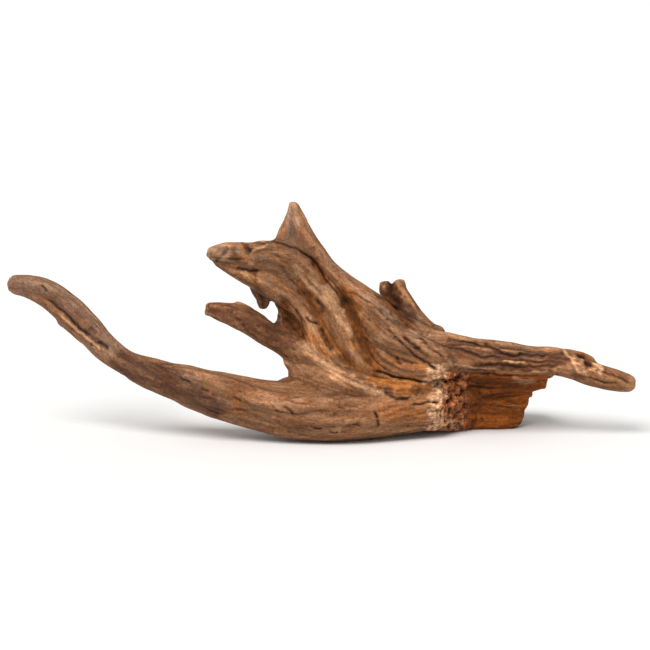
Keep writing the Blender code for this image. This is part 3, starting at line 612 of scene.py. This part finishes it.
MARKS = (
    # The nose: a groove under its top edge, pits, a furrow behind its knobbed tip, and the low lobe's knobs.
    (1.6, 2.6, ((-82, 200), (-62, 197), (-47, 197), (-32, 193.5), (-24, 191))),
    (2.6, 2.6, ((-74, 194), (-70, 188))),
    (2.4, 1.8, ((-105, 178), (-97, 186), (-92, 190), (-84, 190))),
    (4.5, -3.6, ((-110, 192), (-107, 190))),
    (4.0, -2.8, ((-97, 196), (-90, 194))),
    (3.0, -2.2, ((-100, 184), (-96, 181))),
    (4.5, 2.6, ((-86, 184), (-80, 180))),
    (4.0, -2.0, ((-78, 178), (-70, 177))),
    (1.5, -1.8, ((-70, 187), (-63, 191), (-55, 195))),
    (3.6, -3.0, ((-74, 163), (-68, 160))),
    (3.2, -2.4, ((-62, 158), (-58, 157))),
    (3.0, 1.6, ((-67, 165), (-64, 157))),
    (1.7, 2.2, ((-86, 172), (-72, 168), (-60, 168))),
    (1.6, 1.8, ((-94, 168), (-84, 164))),
    # The upper valley's dark cleft, and the edges and lines of the ridges beside it.
    (1.9, 3.2, ((-26, 191), (-16, 184), (-5, 175), (3, 162), (8, 153), (14, 147))),
    (1.6, 1.2, ((22, 149), (34, 146), (49, 136))),
    (2.0, 1.2, ((-50, 188), (-36, 178), (-17, 165), (-6, 153), (6, 139))),
    (1.8, 1.0, ((-40, 176), (-30, 161), (-20, 146))),
    (2.8, 2.0, ((-6, 144), (-1, 136), (3, 127))),
    (1.0, 2.8, ((-17, 124), (-11, 119), (-3, 116))),
    (1.8, 1.2, ((8, 178), (38, 151), (73, 129), (108, 111))),
    # The leaf-shaped hollow's raised left edge and sharp right edge.
    (1.4, -1.4, ((-43, 127), (-40, 117), (-33, 110))),
    (1.5, 2.6, ((-28, 134), (-21, 121), (-18, 103))),
    # The long crack under the shoulder.
    (1.2, 4.0, ((50, 71), (56, 68.5), (70, 65.5), (88, 62), (104, 59))),
    # The shoulder's slanting grooves, its small knot and nubs.
    (2.6, 2.8, ((80, 106), (88, 99), (98, 91))),
    (1.6, 2.0, ((66, 110), (80, 97), (93, 86), (113, 71))),
    (1.5, 1.8, ((96, 104), (108, 92), (120, 84))),
    (2.0, 2.2, ((74, 83), (78, 79))),
    (2.6, -1.8, ((110, 115), (120, 112))),
    # The dark line round the knob below the crack, and the cracks of the trunk's end.
    (1.8, 2.0, ((61, 55), (64, 48), (74, 43.5), (88, 44.5))),
    (1.0, 2.2, ((88, 37), (103, 39), (118, 41))),
    (1.5, 2.6, ((52, 29), (53, 26))),
    (1.4, 2.4, ((53.5, 22), (54, 18))),
    # The short arm's long grooves and ridges.
    (1.5, 3.0, ((126, 102), (150, 98), (168, 91), (188, 86.5), (213, 85.5), (236, 84))),
    (2.2, 2.6, ((163, 96), (173, 90))),
    (1.3, 2.0, ((112, 97), (140, 90), (160, 85), (180, 84))),
    (1.7, 2.3, ((150, 78), (168, 76), (198, 75), (228, 75), (240, 77))),
    (1.6, -1.8, ((128, 78), (163, 71.5), (193, 69), (223, 69))),
    (1.3, -1.6, ((180, 80), (200, 79))),
    (1.3, 1.6, ((205, 81), (225, 79), (238, 79))),
    # The short arm's broken step, and the end that goes on below it.
    (2.0, -2.2, ((238, 92), (250, 79), (254, 71), (270, 64))),
    (3.0, 3.2, ((254, 85), (266, 77))),
    (5.0, 2.4, ((259, 90), (262, 78), (270, 70))),
    (2.6, -2.0, ((271, 79), (279, 72))),
    (1.2, 1.8, ((274, 72), (290, 65), (306, 58))),
    (1.2, 1.6, ((262, 66), (280, 60), (296, 56))),
    # The line under the short arm, and the layers that show in the foot.
    (1.5, 2.6, ((148, 69.5), (180, 67.5), (224, 65.5))),
    (1.3, 1.8, ((140, 54), (158, 54), (176, 53))),
    # The long arm and the belly.
    (1.7, 2.0, ((-275, 144), (-257, 130), (-238, 112), (-224, 102))),
    (1.5, -1.8, ((-262, 127), (-248, 116), (-232, 103), (-219, 93))),
    (1.3, 1.6, ((-277, 156), (-272, 151))),
    (2.2, 2.2, ((-220, 99), (-212, 94))),
    (1.2, 1.8, ((-139, 64), (-129, 59))),
    (1.2, 1.8, ((-114, 33), (-100, 28))),
    (1.8, 1.7, ((-39, 36), (-27, 29))),
    (1.6, 2.0, ((-70, 56), (-65, 52))),
    (1.2, 2.0, ((-10, 15), (-1, 15))),
    (1.2, 1.8, ((8, 11), (15, 11))),
    (1.0, 1.3, ((-49, 38), (-44, 31))),
    (1.0, 1.1, ((-88, 46), (-80, 42))),
    (1.0, 1.1, ((-118, 54), (-110, 51))),
    (1.0, 1.1, ((16, 36), (22, 33))),
    (1.0, 1.1, ((-24, 50), (-17, 48))),
    (1.0, 1.3, ((30, 18), (38, 17))),
    (1.0, 1.1, ((-160, 74), (-150, 70))),
)
# How the front is coloured: (half width, strength, line on the drawing) of each patch, by its colour. Mauve
# is greyed by the sun, umber mostly painted shade where shadow falls, pale rubbed and partly painted
# highlight, ochre the valleys' own orange and partly painted bounced light, and amber a brighter orange laid
# in patches.
STAINS_AND_PAINTED_LIGHT = {
    "mauve": (
        (9, 0.8, ((-28, 236), (-30, 215), (-31, 200))),
        (13, 1.0, ((-313, 156), (-270, 152), (-235, 118), (-205, 90))),
        (10, 0.9, ((-202, 84), (-184, 76), (-165, 68))),
        (12, 1.0, ((-136, 62), (-120, 46), (-107, 34))),
        (9, 1.0, ((-106, 189), (-86, 184))),
        (5, 0.7, ((150, 90), (186, 86), (214, 86))),
        (6, 0.65, ((0, 190), (20, 165), (45, 142), (75, 120), (104, 102))),
        (5, 0.9, ((82, 130), (98, 120))),
        (5, 0.5, ((-60, 180), (-40, 172), (-20, 158))),
    ),
    # Pale: rubbed edges, and partly painted highlight on the lit edges, the lip and the short arm's top.
    "pale": (
        (6.0, 1.0, ((-14, 94), (3, 77), (24, 63), (45, 53), (58, 50))),
        (2.4, 0.6, ((-262, 126), (-248, 115), (-232, 102), (-219, 92))),
        (2.0, 0.7, ((90, 57), (94, 52), (91, 48))),
        (5, 0.6, ((-14, 116), (-4, 100), (8, 88), (22, 76))),
        (7, 1.0, ((4, 152), (16, 130), (27, 108))),
        (2.0, 1.0, ((-70, 187), (-63, 191), (-55, 195))),
        (1.3, 0.9, ((-82, 199), (-66, 199.5), (-50, 199))),
        (5, 1.0, ((126, 78), (112, 68), (104, 60))),
        (7, 1.0, ((114, 50), (116, 38), (120, 20), (136, 15))),
        (2.4, 0.7, ((238, 92), (250, 79), (254, 71), (270, 64))),
        (2.4, 0.8, ((271, 79), (279, 72))),
        (1.5, 0.9, ((180, 80), (200, 79))),
        (2.2, 0.6, ((128, 78), (163, 71.5), (193, 69), (223, 69))),
        (2.0, 0.6, ((98, 113), (158, 101), (198, 95), (238, 92))),
        (1.5, 0.5, ((-43, 127), (-40, 117), (-33, 110))),
        (7, 0.55, ((-24, 174), (-6, 154))),
        (10, 0.5, ((66, 116), (90, 104), (106, 98))),
        (3.5, 0.5, ((-70, 162), (-60, 158))),
        (4, 0.9, ((194, 62), (212, 59))),
        (6, 0.5, ((174, 36), (198, 34))),
        (5, 0.5, ((250, 84), (263, 75), (277, 73))),
    ),
    # Umber: painted shade in the valleys and hollows and under the finger, the hook, the shoulder and the
    # short arm, with a darker tone of the wood along the long arm.
    "umber": (
        (12, 1.15, ((-113, 132), (-80, 125), (-55, 110), (-36, 99))),
        (13, 1.1, ((64, 154), (76, 147), (88, 132))),
        (14, 0.65, ((-306, 156), (-270, 146), (-235, 116), (-205, 88))),
        (14, 1.0, ((-200, 80), (-150, 62), (-120, 46), (-106, 34))),
        (11, 1.0, ((130, 92), (170, 84), (205, 80), (236, 80))),
        (6, 0.9, ((150, 74), (228, 73))),
        (9, 0.6, ((262, 80), (300, 62))),
        (4, 0.5, ((20, 147), (33, 122), (42, 98), (50, 78))),
        (9, 0.55, ((-104, 190), (-84, 180), (-68, 166))),
        (6, 0.8, ((-62, 150), (-59, 138))),
        (8, 0.8, ((126, 72), (132, 60), (134, 46))),
        (3, 0.9, ((-77, 194), (-73, 187))),
        (4, 0.7, ((80, 106), (98, 91))),
        (6, 0.5, ((64, 96), (72, 80))),
        (3.5, 0.8, ((61, 53), (70, 48), (86, 44))),
    ),
    # Ochre: the valleys' own orange, partly painted bounced light.
    "ochre": (
        (8, 1.0, ((20, 148), (35, 118), (43, 95), (53, 72))),
        (5, 0.8, ((-20, 158), (-4, 126), (8, 102), (20, 84), (38, 71))),
        (6, 0.8, ((-13, 110), (-3, 96), (8, 86))),
        (8, 0.6, ((46, 64), (84, 57), (104, 52))),
        (15, 0.4, ((10, 34), (50, 33))),
        (17, 0.6, ((62, 30), (96, 28))),
        (8, 0.6, ((-88, 50), (-80, 32))),
        (9, 0.6, ((66, 84), (84, 80), (98, 74))),
        (6, 0.8, ((76, 53), (84, 52))),
        (5, 0.7, ((150, 76), (190, 74), (228, 76))),
    ),
    "amber": (
        (6, 0.6, ((-16, 90), (-4, 82), (10, 72), (26, 62))),
        (6, 0.7, ((-2, 124), (6, 106), (16, 90))),
        (6, 0.6, ((10, 142), (24, 114), (30, 96))),
        (6, 0.7, ((52, 62), (72, 61), (100, 55))),
        (8, 0.4, ((66, 82), (98, 76))),
        (9, 0.45, ((88, 50), (106, 42))),
    ),
}
# The noises that warp the lines, (size in metres, reach in steps), and how much more they warp the colour
# patches that are at least FULL_WARP_WIDTH steps wide.
WARPS = ((0.009, 1.2), (0.0035, 0.9))
PATCH_WARP = 2.5
FULL_WARP_WIDTH = 5
# A line longer than LONG_MARK widths fades over LINE_END of its length to LINE_END_DEPTH of its depth.
LONG_MARK = 6
LINE_END = 0.15
LINE_END_DEPTH = 0.3
# A mark narrower than CRACK_WIDTH is a crack, with painted shade at its core, fully dark from CRACK_FULL
# steps deep.
CRACK_WIDTH = 3
CRACK_CORE = 0.6
CRACK_FULL = 3.6
CRACK_BREAKS = 0.006
CRACK_SHOWN = (-0.6, 0.5)
# Only what is nearest to the viewer in its cell of the drawing, and faces the viewer, takes the marks.
CELL = 2.0
FRONT_DEPTH = (20, 32)
FRONT_FACING = (0.0, 0.3)
FRONT_ROUNDS = 6
# The torn band across the drawing and up it, the chipped wood beside it, and more chips, given like the
# colour patches.
TORN_START = (118, 123)
TORN_END = (142, 152)
TORN_TOP = (66, 72)
CHIPPED_ACROSS = 114
CHIPPED_WIDTH = 9
CHIPPED_TOP = (74, 82)
CHIPPED = (
    (6.5, 0.65, ((250, 84), (263, 75), (276, 72))),
    (5, 0.7, ((104, 59), (112, 62))),
)
RAGGED_SIZE = 0.007
RAGGED_REACH = 5.0
ROUGH_SIZE = 0.006
ROUGH_DEPTH = 0.0018
TORN_CHIP_DEPTH = 0.0014
CHIPPED_SHARE = 0.6
# Where the foot's set-back face is darker red-brown: partly its own broken wood, partly painted shade under
# the short arm.
FOOT_START = (132, 146)
FOOT_TOP = (66, 74)
FOOT_DEPTH = (14, 30)


def on_drawing(points):
    """The points on the drawing: (across, up) = (x, z cos tilt + y sin tilt), and their depth, in steps."""
    across, depth, height = ((points - shift) / STEP).T
    up = (height + GROUND_WEAR) * cos(DRAWING_TILT) + depth * sin(DRAWING_TILT)
    return np.stack([across, up], -1), depth


def distance_to_line(spots, line):
    """Each spot's distance from a line, how far along it (0 to 1) the nearest place is, and its length."""
    line = np.array(line, float)
    start, stretch = line[:-1], np.diff(line, axis=0)
    length = np.linalg.norm(stretch, axis=1)
    gap = spots[:, None] - start
    share = np.clip((gap * stretch).sum(-1) / length**2, 0, 1)
    distance = np.linalg.norm(gap - share[..., None] * stretch, axis=-1)
    best = distance.argmin(1)
    rows = np.arange(len(spots))
    run = (np.append(0, np.cumsum(length))[best] + share[rows, best] * length[best]) / length.sum()
    return distance[rows, best], run, length.sum()


def patch_cover(patches):
    """How strongly a set of patches covers each point: the most of strength exp(-(distance / width)^2)."""
    cover = np.zeros(len(points))
    for width, strength, line in patches:
        distance = distance_to_line(spots + PATCH_WARP * warp * min(1, width / FULL_WARP_WIDTH), line)[0]
        cover = np.maximum(cover, strength * bell(distance, width) * in_front)
    return cover


spots, depths = on_drawing(points)
cells = np.floor(spots / CELL).astype(int)
cells -= cells.min(0)
key = cells[:, 0] * (cells[:, 1].max() + 1) + cells[:, 1]
nearest_depth = np.full(key.max() + 1, np.inf)
np.minimum.at(nearest_depth, key, depths)
hidden = relaxed(ramp(depths - nearest_depth[key], *FRONT_DEPTH), edges, FRONT_ROUNDS)
in_front = ramp(relaxed(normals @ TOWARD, edges, FRONT_ROUNDS), *FRONT_FACING) * (1 - hidden)
warp = np.zeros_like(spots)
for seed, (size, reach) in zip((21, 23), WARPS):
    warp += np.stack([noise(points / size, seed), noise(points / size, seed + 1)], -1) * reach
pushed = np.zeros(len(points))
crack = np.zeros(len(points))
hollow = np.zeros(len(points))
broken_up = ramp(layered(points, CRACK_BREAKS, 25, finer=2.4), *CRACK_SHOWN)
for width, depth, line in FOLDS + MARKS:
    distance, run, length = distance_to_line(spots + warp, line)
    taper = 1
    if length > LONG_MARK * width:
        inner = ramp(run, 0, LINE_END) * ramp(1 - run, 0, LINE_END)
        taper = inner * (1 - LINE_END_DEPTH) + LINE_END_DEPTH
    profile = bell(distance, width) * taper * in_front
    pushed += profile * depth * STEP
    # Painted shade in the cores of the narrow marks; the wider ones are hollows.
    if depth > 0 and width < CRACK_WIDTH:
        darkness = broken_up * min(1, (depth / CRACK_FULL) ** 2)
        crack = np.maximum(crack, bell(distance, CRACK_CORE * width) * taper * in_front * darkness)
    elif depth > 0:
        hollow = np.maximum(hollow, profile)
stains_and_painted_light = {name: patch_cover(patches) for name, patches in STAINS_AND_PAINTED_LIGHT.items()}

# The trunk's broken end, a band of rough torn fibres between the trunk and the foot, and the chipped wood
# beside it and at the short arm's step.
across, up = spots.T
ragged = across + RAGGED_REACH * layered(points, RAGGED_SIZE, 51, finer=7 / 3)
torn = in_front * ramp(ragged, *TORN_START) * (1 - ramp(ragged, *TORN_END)) * (1 - ramp(up, *TORN_TOP))
chipped = in_front * bell(ragged - CHIPPED_ACROSS, CHIPPED_WIDTH) * (1 - ramp(up, *CHIPPED_TOP))
chipped = np.maximum(chipped, patch_cover(CHIPPED))
rough = layered(points, ROUGH_SIZE, 53, share=0.7)
depth_in += np.maximum(torn, CHIPPED_SHARE * chipped) * (chips * TORN_CHIP_DEPTH + rough * ROUGH_DEPTH)
# The foot's set-back face under the short arm, darker partly as painted shade.
foot = in_front * ramp(across, *FOOT_START) * (1 - ramp(up, *FOOT_TOP)) * ramp(depths, *FOOT_DEPTH)

points -= normals * depth_in[:, None] + TOWARD * pushed[:, None]
points = relaxed(points, edges, 1)
points[:, 2] = np.maximum(points[:, 2], 0)

# The finish. Dry bare wood, grey-brown on what the weather reaches, orange-brown in the valleys that stayed
# covered and partly painted bounced light, and pale where edges rubbed off, partly painted highlight. Painted
# shade darkens cracks, pits, hollows and what faces down, and painted light brightens crests and what faces
# up. It is rough everywhere and has no gloss.

FACE_LIMIT = 196000
# How hollow the skin is at three sizes: (rounds of relaxing, height in metres that counts as 1).
HOLLOWNESS = ((4, 0.00018), (20, 0.0007), (180, 0.0030))
# Ochre in the marks' hollows (partly painted bounced light), painted shade in the drying grooves, the pale of
# broken wood, and the rounds that smooth the normals for the painted shade on what faces down.
HOLLOW_OCHRE = 0.8
DRYING_GROOVE_SHADE = 0.5
BROKEN_PALE = 0.45
FACING_SHADE_ROUNDS = 12

normals = surface_normals(points, quads)
relief = []
mean = points
for rounds, height in HOLLOWNESS:
    mean = relaxed(mean, edges, rounds)
    relief.append(((mean - points) * normals).sum(1) / height)
ochre = np.maximum(stains_and_painted_light["ochre"], HOLLOW_OCHRE * hollow)
# Painted shade and light by facing: what faces down is darkened and what faces up lightened.
facing_shade = relaxed(normals, edges, FACING_SHADE_ROUNDS)[:, 2]

root_mesh = mesh_of("weathered_root", points, quads.tolist())
# The attributes carry painted shade and light with the wood's colours: in cracks, grooves and pits, on the
# foot, in the umber and pale patches and by facing.
for name, values in (
    ("grain", grain[0]),
    ("relief", np.stack(relief, -1)),
    ("marks", np.stack([np.maximum(crack, drying * DRYING_GROOVE_SHADE), ochre, pits], -1)),
    ("wear_and_foot_shade", np.stack([np.maximum(BROKEN_PALE * broken, chipped), foot, torn], -1)),
    ("stain_and_painted_light", np.stack([stains_and_painted_light["mauve"], stains_and_painted_light["pale"], stains_and_painted_light["umber"]], -1)),
    ("facing_shade_and_amber", np.stack([facing_shade, stains_and_painted_light["amber"], np.zeros(len(points))], -1)),
):
    attribute = root_mesh.attributes.new(name, "FLOAT_VECTOR", "POINT")
    attribute.data.foreach_set("vector", np.ascontiguousarray(values, float).ravel())
root = add_object("weathered_root", root_mesh)
thin = root.modifiers.new("fewer_faces", "DECIMATE")
thin.ratio = FACE_LIMIT / (2 * len(quads))
root_mesh = applied(root)
root.modifiers.clear()
root.data = root_mesh
root_mesh.polygons.foreach_set("use_smooth", np.ones(len(root_mesh.polygons), bool))


def linear(hex_colour):
    """An sRGB hex colour as linear red, green, blue and alpha."""
    parts = [int(hex_colour[i:i + 2], 16) / 255 for i in (1, 3, 5)]
    return tuple(c / 12.92 if c <= 0.04045 else ((c + 0.055) / 1.055) ** 2.4 for c in parts) + (1.0,)


def add_node(tree, kind, settings=None, links=None):
    """A node with these settings (its own fields, or inputs by name or number) and links into its inputs."""
    node = tree.nodes.new(kind)
    for key, value in (settings or {}).items():
        if isinstance(key, str) and hasattr(node, key):
            setattr(node, key, value)
        else:
            node.inputs[key].default_value = value
    for key, output in (links or {}).items():
        tree.links.new(output, node.inputs[key])
    return node


BROWN = "#96623C"
# The umber colour is mostly painted shade, the deep ochre and crevice colours are painted shade (the crevice
# colour also gives dark specks), the foot colour is partly painted shade, the pale partly painted highlight
# and the ochre partly painted bounced light.
COLOURS = {
    "weathered": "#936A4C",
    "mauve": "#94755F",
    "pale": "#C6956D",
    "umber": "#5A3520",
    "ochre": "#9A5618",
    "amber": "#C57C3E",
    "ochre_hollow_shade": "#5E2F10",
    "ridge": "#A57850",
    "foot": "#9A5218",
    "torn": "#AC6438",
    "broken": "#DCAA84",
    "crevice_shade_and_speck": "#2A1209",
}
ATTRIBUTES = {
    "relief": ("fine", "mid", "wide"),
    "marks": ("crack", "ochre", "pit"),
    "wear_and_foot_shade": ("broken", "foot", "torn"),
    "stain_and_painted_light": ("mauve", "pale", "umber"),
    "facing_shade_and_amber": ("facing_shade", "amber"),
}
# The grain's patterns: length along the grain and width across it in metres, detail, roughness, distortion.
PATTERNS = {
    "wrinkle": (0.0032, 0.0015, 4, 0.65, 0.9),
    "fibre": (0.0080, 0.0011, 3, 0.6, 0.6),
    "fleck": (0.0020, 0.0014, 2, 0.6, 0.5),
    "speck": (0.0026, 0.0016, 2, 0.5, 0.8),
    "mottle": (0.0200, 0.0100, 4, 0.65, 0.8),
    "patch": (0.0600, 0.0350, 2, 0.5, 0.4),
    "crumb": (0.0026, 0.0022, 3, 0.6, 0.6),
}
# The masks whose edges are made ragged by the mottle, and how far.
RAGGED_MASKS = ("mauve", "pale", "umber", "ochre", "amber", "torn", "broken", "foot")
RAGGED_MASK_REACH = 1.1
# Each colour laid over the last: where it lies, between which values it grows, how much there, its name.
LAYERS = (
    ("mottle", 0.35, 0.65, 0, 1.0, "weathered"),
    ("wide", -0.2, -1.2, 0, 0.4, "weathered"),
    # Ochre in the wide hollows, partly painted bounced light.
    ("wide", -0.1, 0.8, 0, 0.7, "ochre"),
    ("mauve", 0.25, 0.85, 0, 0.85, "mauve"),
    ("ochre", 0.25, 0.85, 0, 0.85, "ochre"),
    ("amber", 0.2, 0.85, 0, 0.8, "amber"),
    # Umber is mostly painted shade, the foot colour partly painted shade and pale partly painted highlight.
    ("umber", 0.25, 0.85, 0, 0.85, "umber"),
    ("mid", -0.3, -1.3, 0, 0.5, "ridge"),
    ("foot", 0.25, 0.75, 0, 1.0, "foot"),
    ("torn", 0.25, 0.7, 0, 0.85, "torn"),
    ("broken", 0.35, 0.9, 0, 0.7, "broken"),
    ("pale", 0.3, 0.85, 0, 0.75, "pale"),
    # Painted shade: darker in the hollows, in pits and in the cores of cracks; the specks are dark specks in
    # the wood.
    ("mid", 0.3, 1.6, 0, 0.7, "ochre_hollow_shade"),
    ("fine", 0.3, 1.8, 0, 0.6, "crevice_shade_and_speck"),
    ("pit", 0.2, 1.0, 0, 0.25, "crevice_shade_and_speck"),
    ("speck", 0.62, 0.74, 0, 0.4, "crevice_shade_and_speck"),
    ("crack", 0.2, 0.9, 0, 0.7, "crevice_shade_and_speck"),
)
# What makes the wood lighter and darker: between two values of it, the factor goes from one to the other. The
# grain patterns are the wood's own tone; fine, mid and wide are painted shade in hollows and painted light on
# crests, and the last row is painted shade on what faces down and painted light on what faces up.
SHADES = (
    ("wrinkle", 0.30, 0.70, 0.75, 1.27),
    ("fibre", 0.30, 0.70, 0.89, 1.11),
    ("mottle", 0.30, 0.70, 0.86, 1.14),
    ("fleck", 0.30, 0.70, 0.77, 1.23),
    ("patch", 0.30, 0.70, 0.75, 1.25),
    ("fine", -0.9, 1.0, 1.13, 0.78),
    ("mid", -0.8, 0.8, 1.08, 0.76),
    ("wide", -0.8, 0.6, 1.02, 0.64),
    ("facing_shade", -0.9, 0.9, 0.68, 1.16),
)
# How light and dark the crumbs of torn and broken wood are, and where they show.
CRUMBS = (("crumb", 0.35, 0.65, 0.50, 1.50), ("crumbly", 0.3, 0.8, 0, 0.9))
# The bumps of the grain: pattern, strength, height in metres.
BUMPS = (("wrinkle", 0.8, 0.0009), ("fibre", 0.5, 0.0004))


def weathered_wood():
    """Dry weathered root wood: fine pale and dark wrinkles along the grain over a mottled brown."""
    material = bpy.data.materials.new("weathered_root_wood")
    material.use_nodes = True
    tree = material.node_tree
    shader = tree.nodes["Principled BSDF"]
    shader.inputs["Roughness"].default_value = 0.85
    shader.inputs["Specular IOR Level"].default_value = 0.25
    grain_place = add_node(tree, "ShaderNodeAttribute", {"attribute_name": "grain"}).outputs["Vector"]
    values = {}
    for name, labels in ATTRIBUTES.items():
        vector = add_node(tree, "ShaderNodeAttribute", {"attribute_name": name}).outputs["Vector"]
        parts = add_node(tree, "ShaderNodeSeparateXYZ", links={0: vector}).outputs
        values.update(zip(labels, parts))
    for name, (length, width, detail, roughness, distortion) in PATTERNS.items():
        sizes = {"operation": "DIVIDE", 1: (length, width, width)}
        scaled = add_node(tree, "ShaderNodeVectorMath", sizes, {0: grain_place}).outputs[0]
        pattern = {"Scale": 1.0, "Detail": detail, "Roughness": roughness, "Distortion": distortion}
        values[name] = add_node(tree, "ShaderNodeTexNoise", pattern, {"Vector": scaled}).outputs["Fac"]
    offset = {"operation": "MULTIPLY_ADD", 1: RAGGED_MASK_REACH, 2: -RAGGED_MASK_REACH / 2}
    uneven = add_node(tree, "ShaderNodeMath", offset, {0: values["mottle"]}).outputs[0]
    for label in RAGGED_MASKS:
        together = {0: values[label], 1: uneven}
        values[label] = add_node(tree, "ShaderNodeMath", {"operation": "ADD"}, together).outputs[0]

    either = {0: values["torn"], 1: values["broken"]}
    values["crumbly"] = add_node(tree, "ShaderNodeMath", {"operation": "MAXIMUM"}, either).outputs[0]

    base = add_node(tree, "ShaderNodeRGB")
    base.outputs[0].default_value = linear(BROWN)
    colour = base.outputs[0]
    for name, low, high, bottom, top, *laid in LAYERS + SHADES + CRUMBS:
        smooth = {"interpolation_type": "SMOOTHSTEP", 1: low, 2: high, 3: bottom, 4: top}
        share = add_node(tree, "ShaderNodeMapRange", smooth, {0: values[name]}).outputs[0]
        # The crumbs change the colour only where they show.
        if name == "crumb":
            plain = colour
        if name == "crumbly":
            mixed = {0: share, 6: plain, 7: colour}
            colour = add_node(tree, "ShaderNodeMix", {"data_type": "RGBA"}, mixed).outputs[2]
        elif laid:
            over = {"data_type": "RGBA", 7: linear(COLOURS[laid[0]])}
            colour = add_node(tree, "ShaderNodeMix", over, {0: share, 6: colour}).outputs[2]
        else:
            scaled = {0: colour, 3: share}
            colour = add_node(tree, "ShaderNodeVectorMath", {"operation": "SCALE"}, scaled).outputs[0]
    tree.links.new(colour, shader.inputs["Base Color"])

    under = {}
    for name, strength, height in BUMPS:
        raised = {"Strength": strength, "Distance": height}
        bump = add_node(tree, "ShaderNodeBump", raised, {"Height": values[name], **under})
        under = {"Normal": bump.outputs["Normal"]}
    tree.links.new(under["Normal"], shader.inputs["Normal"])
    return material


root_mesh.materials.append(weathered_wood())
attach(root, "root")
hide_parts("kapas_root")

# The floor and the light. A plain pale sheet under and behind the root, one broad soft light from above and
# the left front, and an even white sky around it.

FLOOR_REACH = 12.0
FLOOR_CORNERS = ((-1, -1, 0), (1, -1, 0), (1, 1, 0), (-1, 1, 0))
KEY_DIRECTION = (-0.42, -0.62, 1.0)
KEY_STRENGTH = 2.6
KEY_SPREAD = radians(35)
SKY_STRENGTH = 0.46

# Pale matt paper, which gives the eye nothing to rest on but the root and its shadow.
paper = bpy.data.materials.new("pale_paper")
paper.use_nodes = True
sheet = paper.node_tree.nodes["Principled BSDF"]
sheet.inputs["Base Color"].default_value = linear("#FAF9F7")
sheet.inputs["Roughness"].default_value = 0.9
floor_mesh = mesh_of("floor", np.array(FLOOR_CORNERS) * FLOOR_REACH, [[0, 1, 2, 3]])
floor_mesh.materials.append(paper)
floor = add_object("floor", floor_mesh)

key_light = bpy.data.lights.new("key_light", "SUN")
key_light.energy = KEY_STRENGTH
key_light.angle = KEY_SPREAD
key_lamp = add_object("key_light", key_light)
key_lamp.location = KEY_DIRECTION
key_lamp.rotation_euler = Vector(KEY_DIRECTION).to_track_quat("Z", "Y").to_euler()
world = bpy.data.worlds.new("studio")
bpy.context.scene.world = world
world.use_nodes = True
sky = world.node_tree.nodes["Background"]
sky.inputs["Color"].default_value = (1, 1, 1, 1)
sky.inputs["Strength"].default_value = SKY_STRENGTH
bpy.context.scene.view_settings.view_transform = "Standard"

# The camera looks as the photograph does: from the front, a little above, with a long lens. The picture is
# PICTURE_STEPS wide, and its middle is the point PICTURE_MIDDLE of the drawing.

PICTURE_STEPS = 650
PICTURE_MIDDLE = (3, 116, 36)
LENS = 150.0
SENSOR = 36.0

camera = bpy.data.cameras.new("camera")
camera.lens = LENS
camera.sensor_width = SENSOR
eye = add_object("camera", camera)
back_away = Vector((0, -cos(DRAWING_TILT), sin(DRAWING_TILT)))
eye_distance = PICTURE_STEPS * STEP * LENS / SENSOR
eye.location = Vector(placed([PICTURE_MIDDLE])[0] + shift) + back_away * eye_distance
eye.rotation_euler = (-back_away).to_track_quat("-Z", "Y").to_euler()
bpy.context.scene.camera = eye
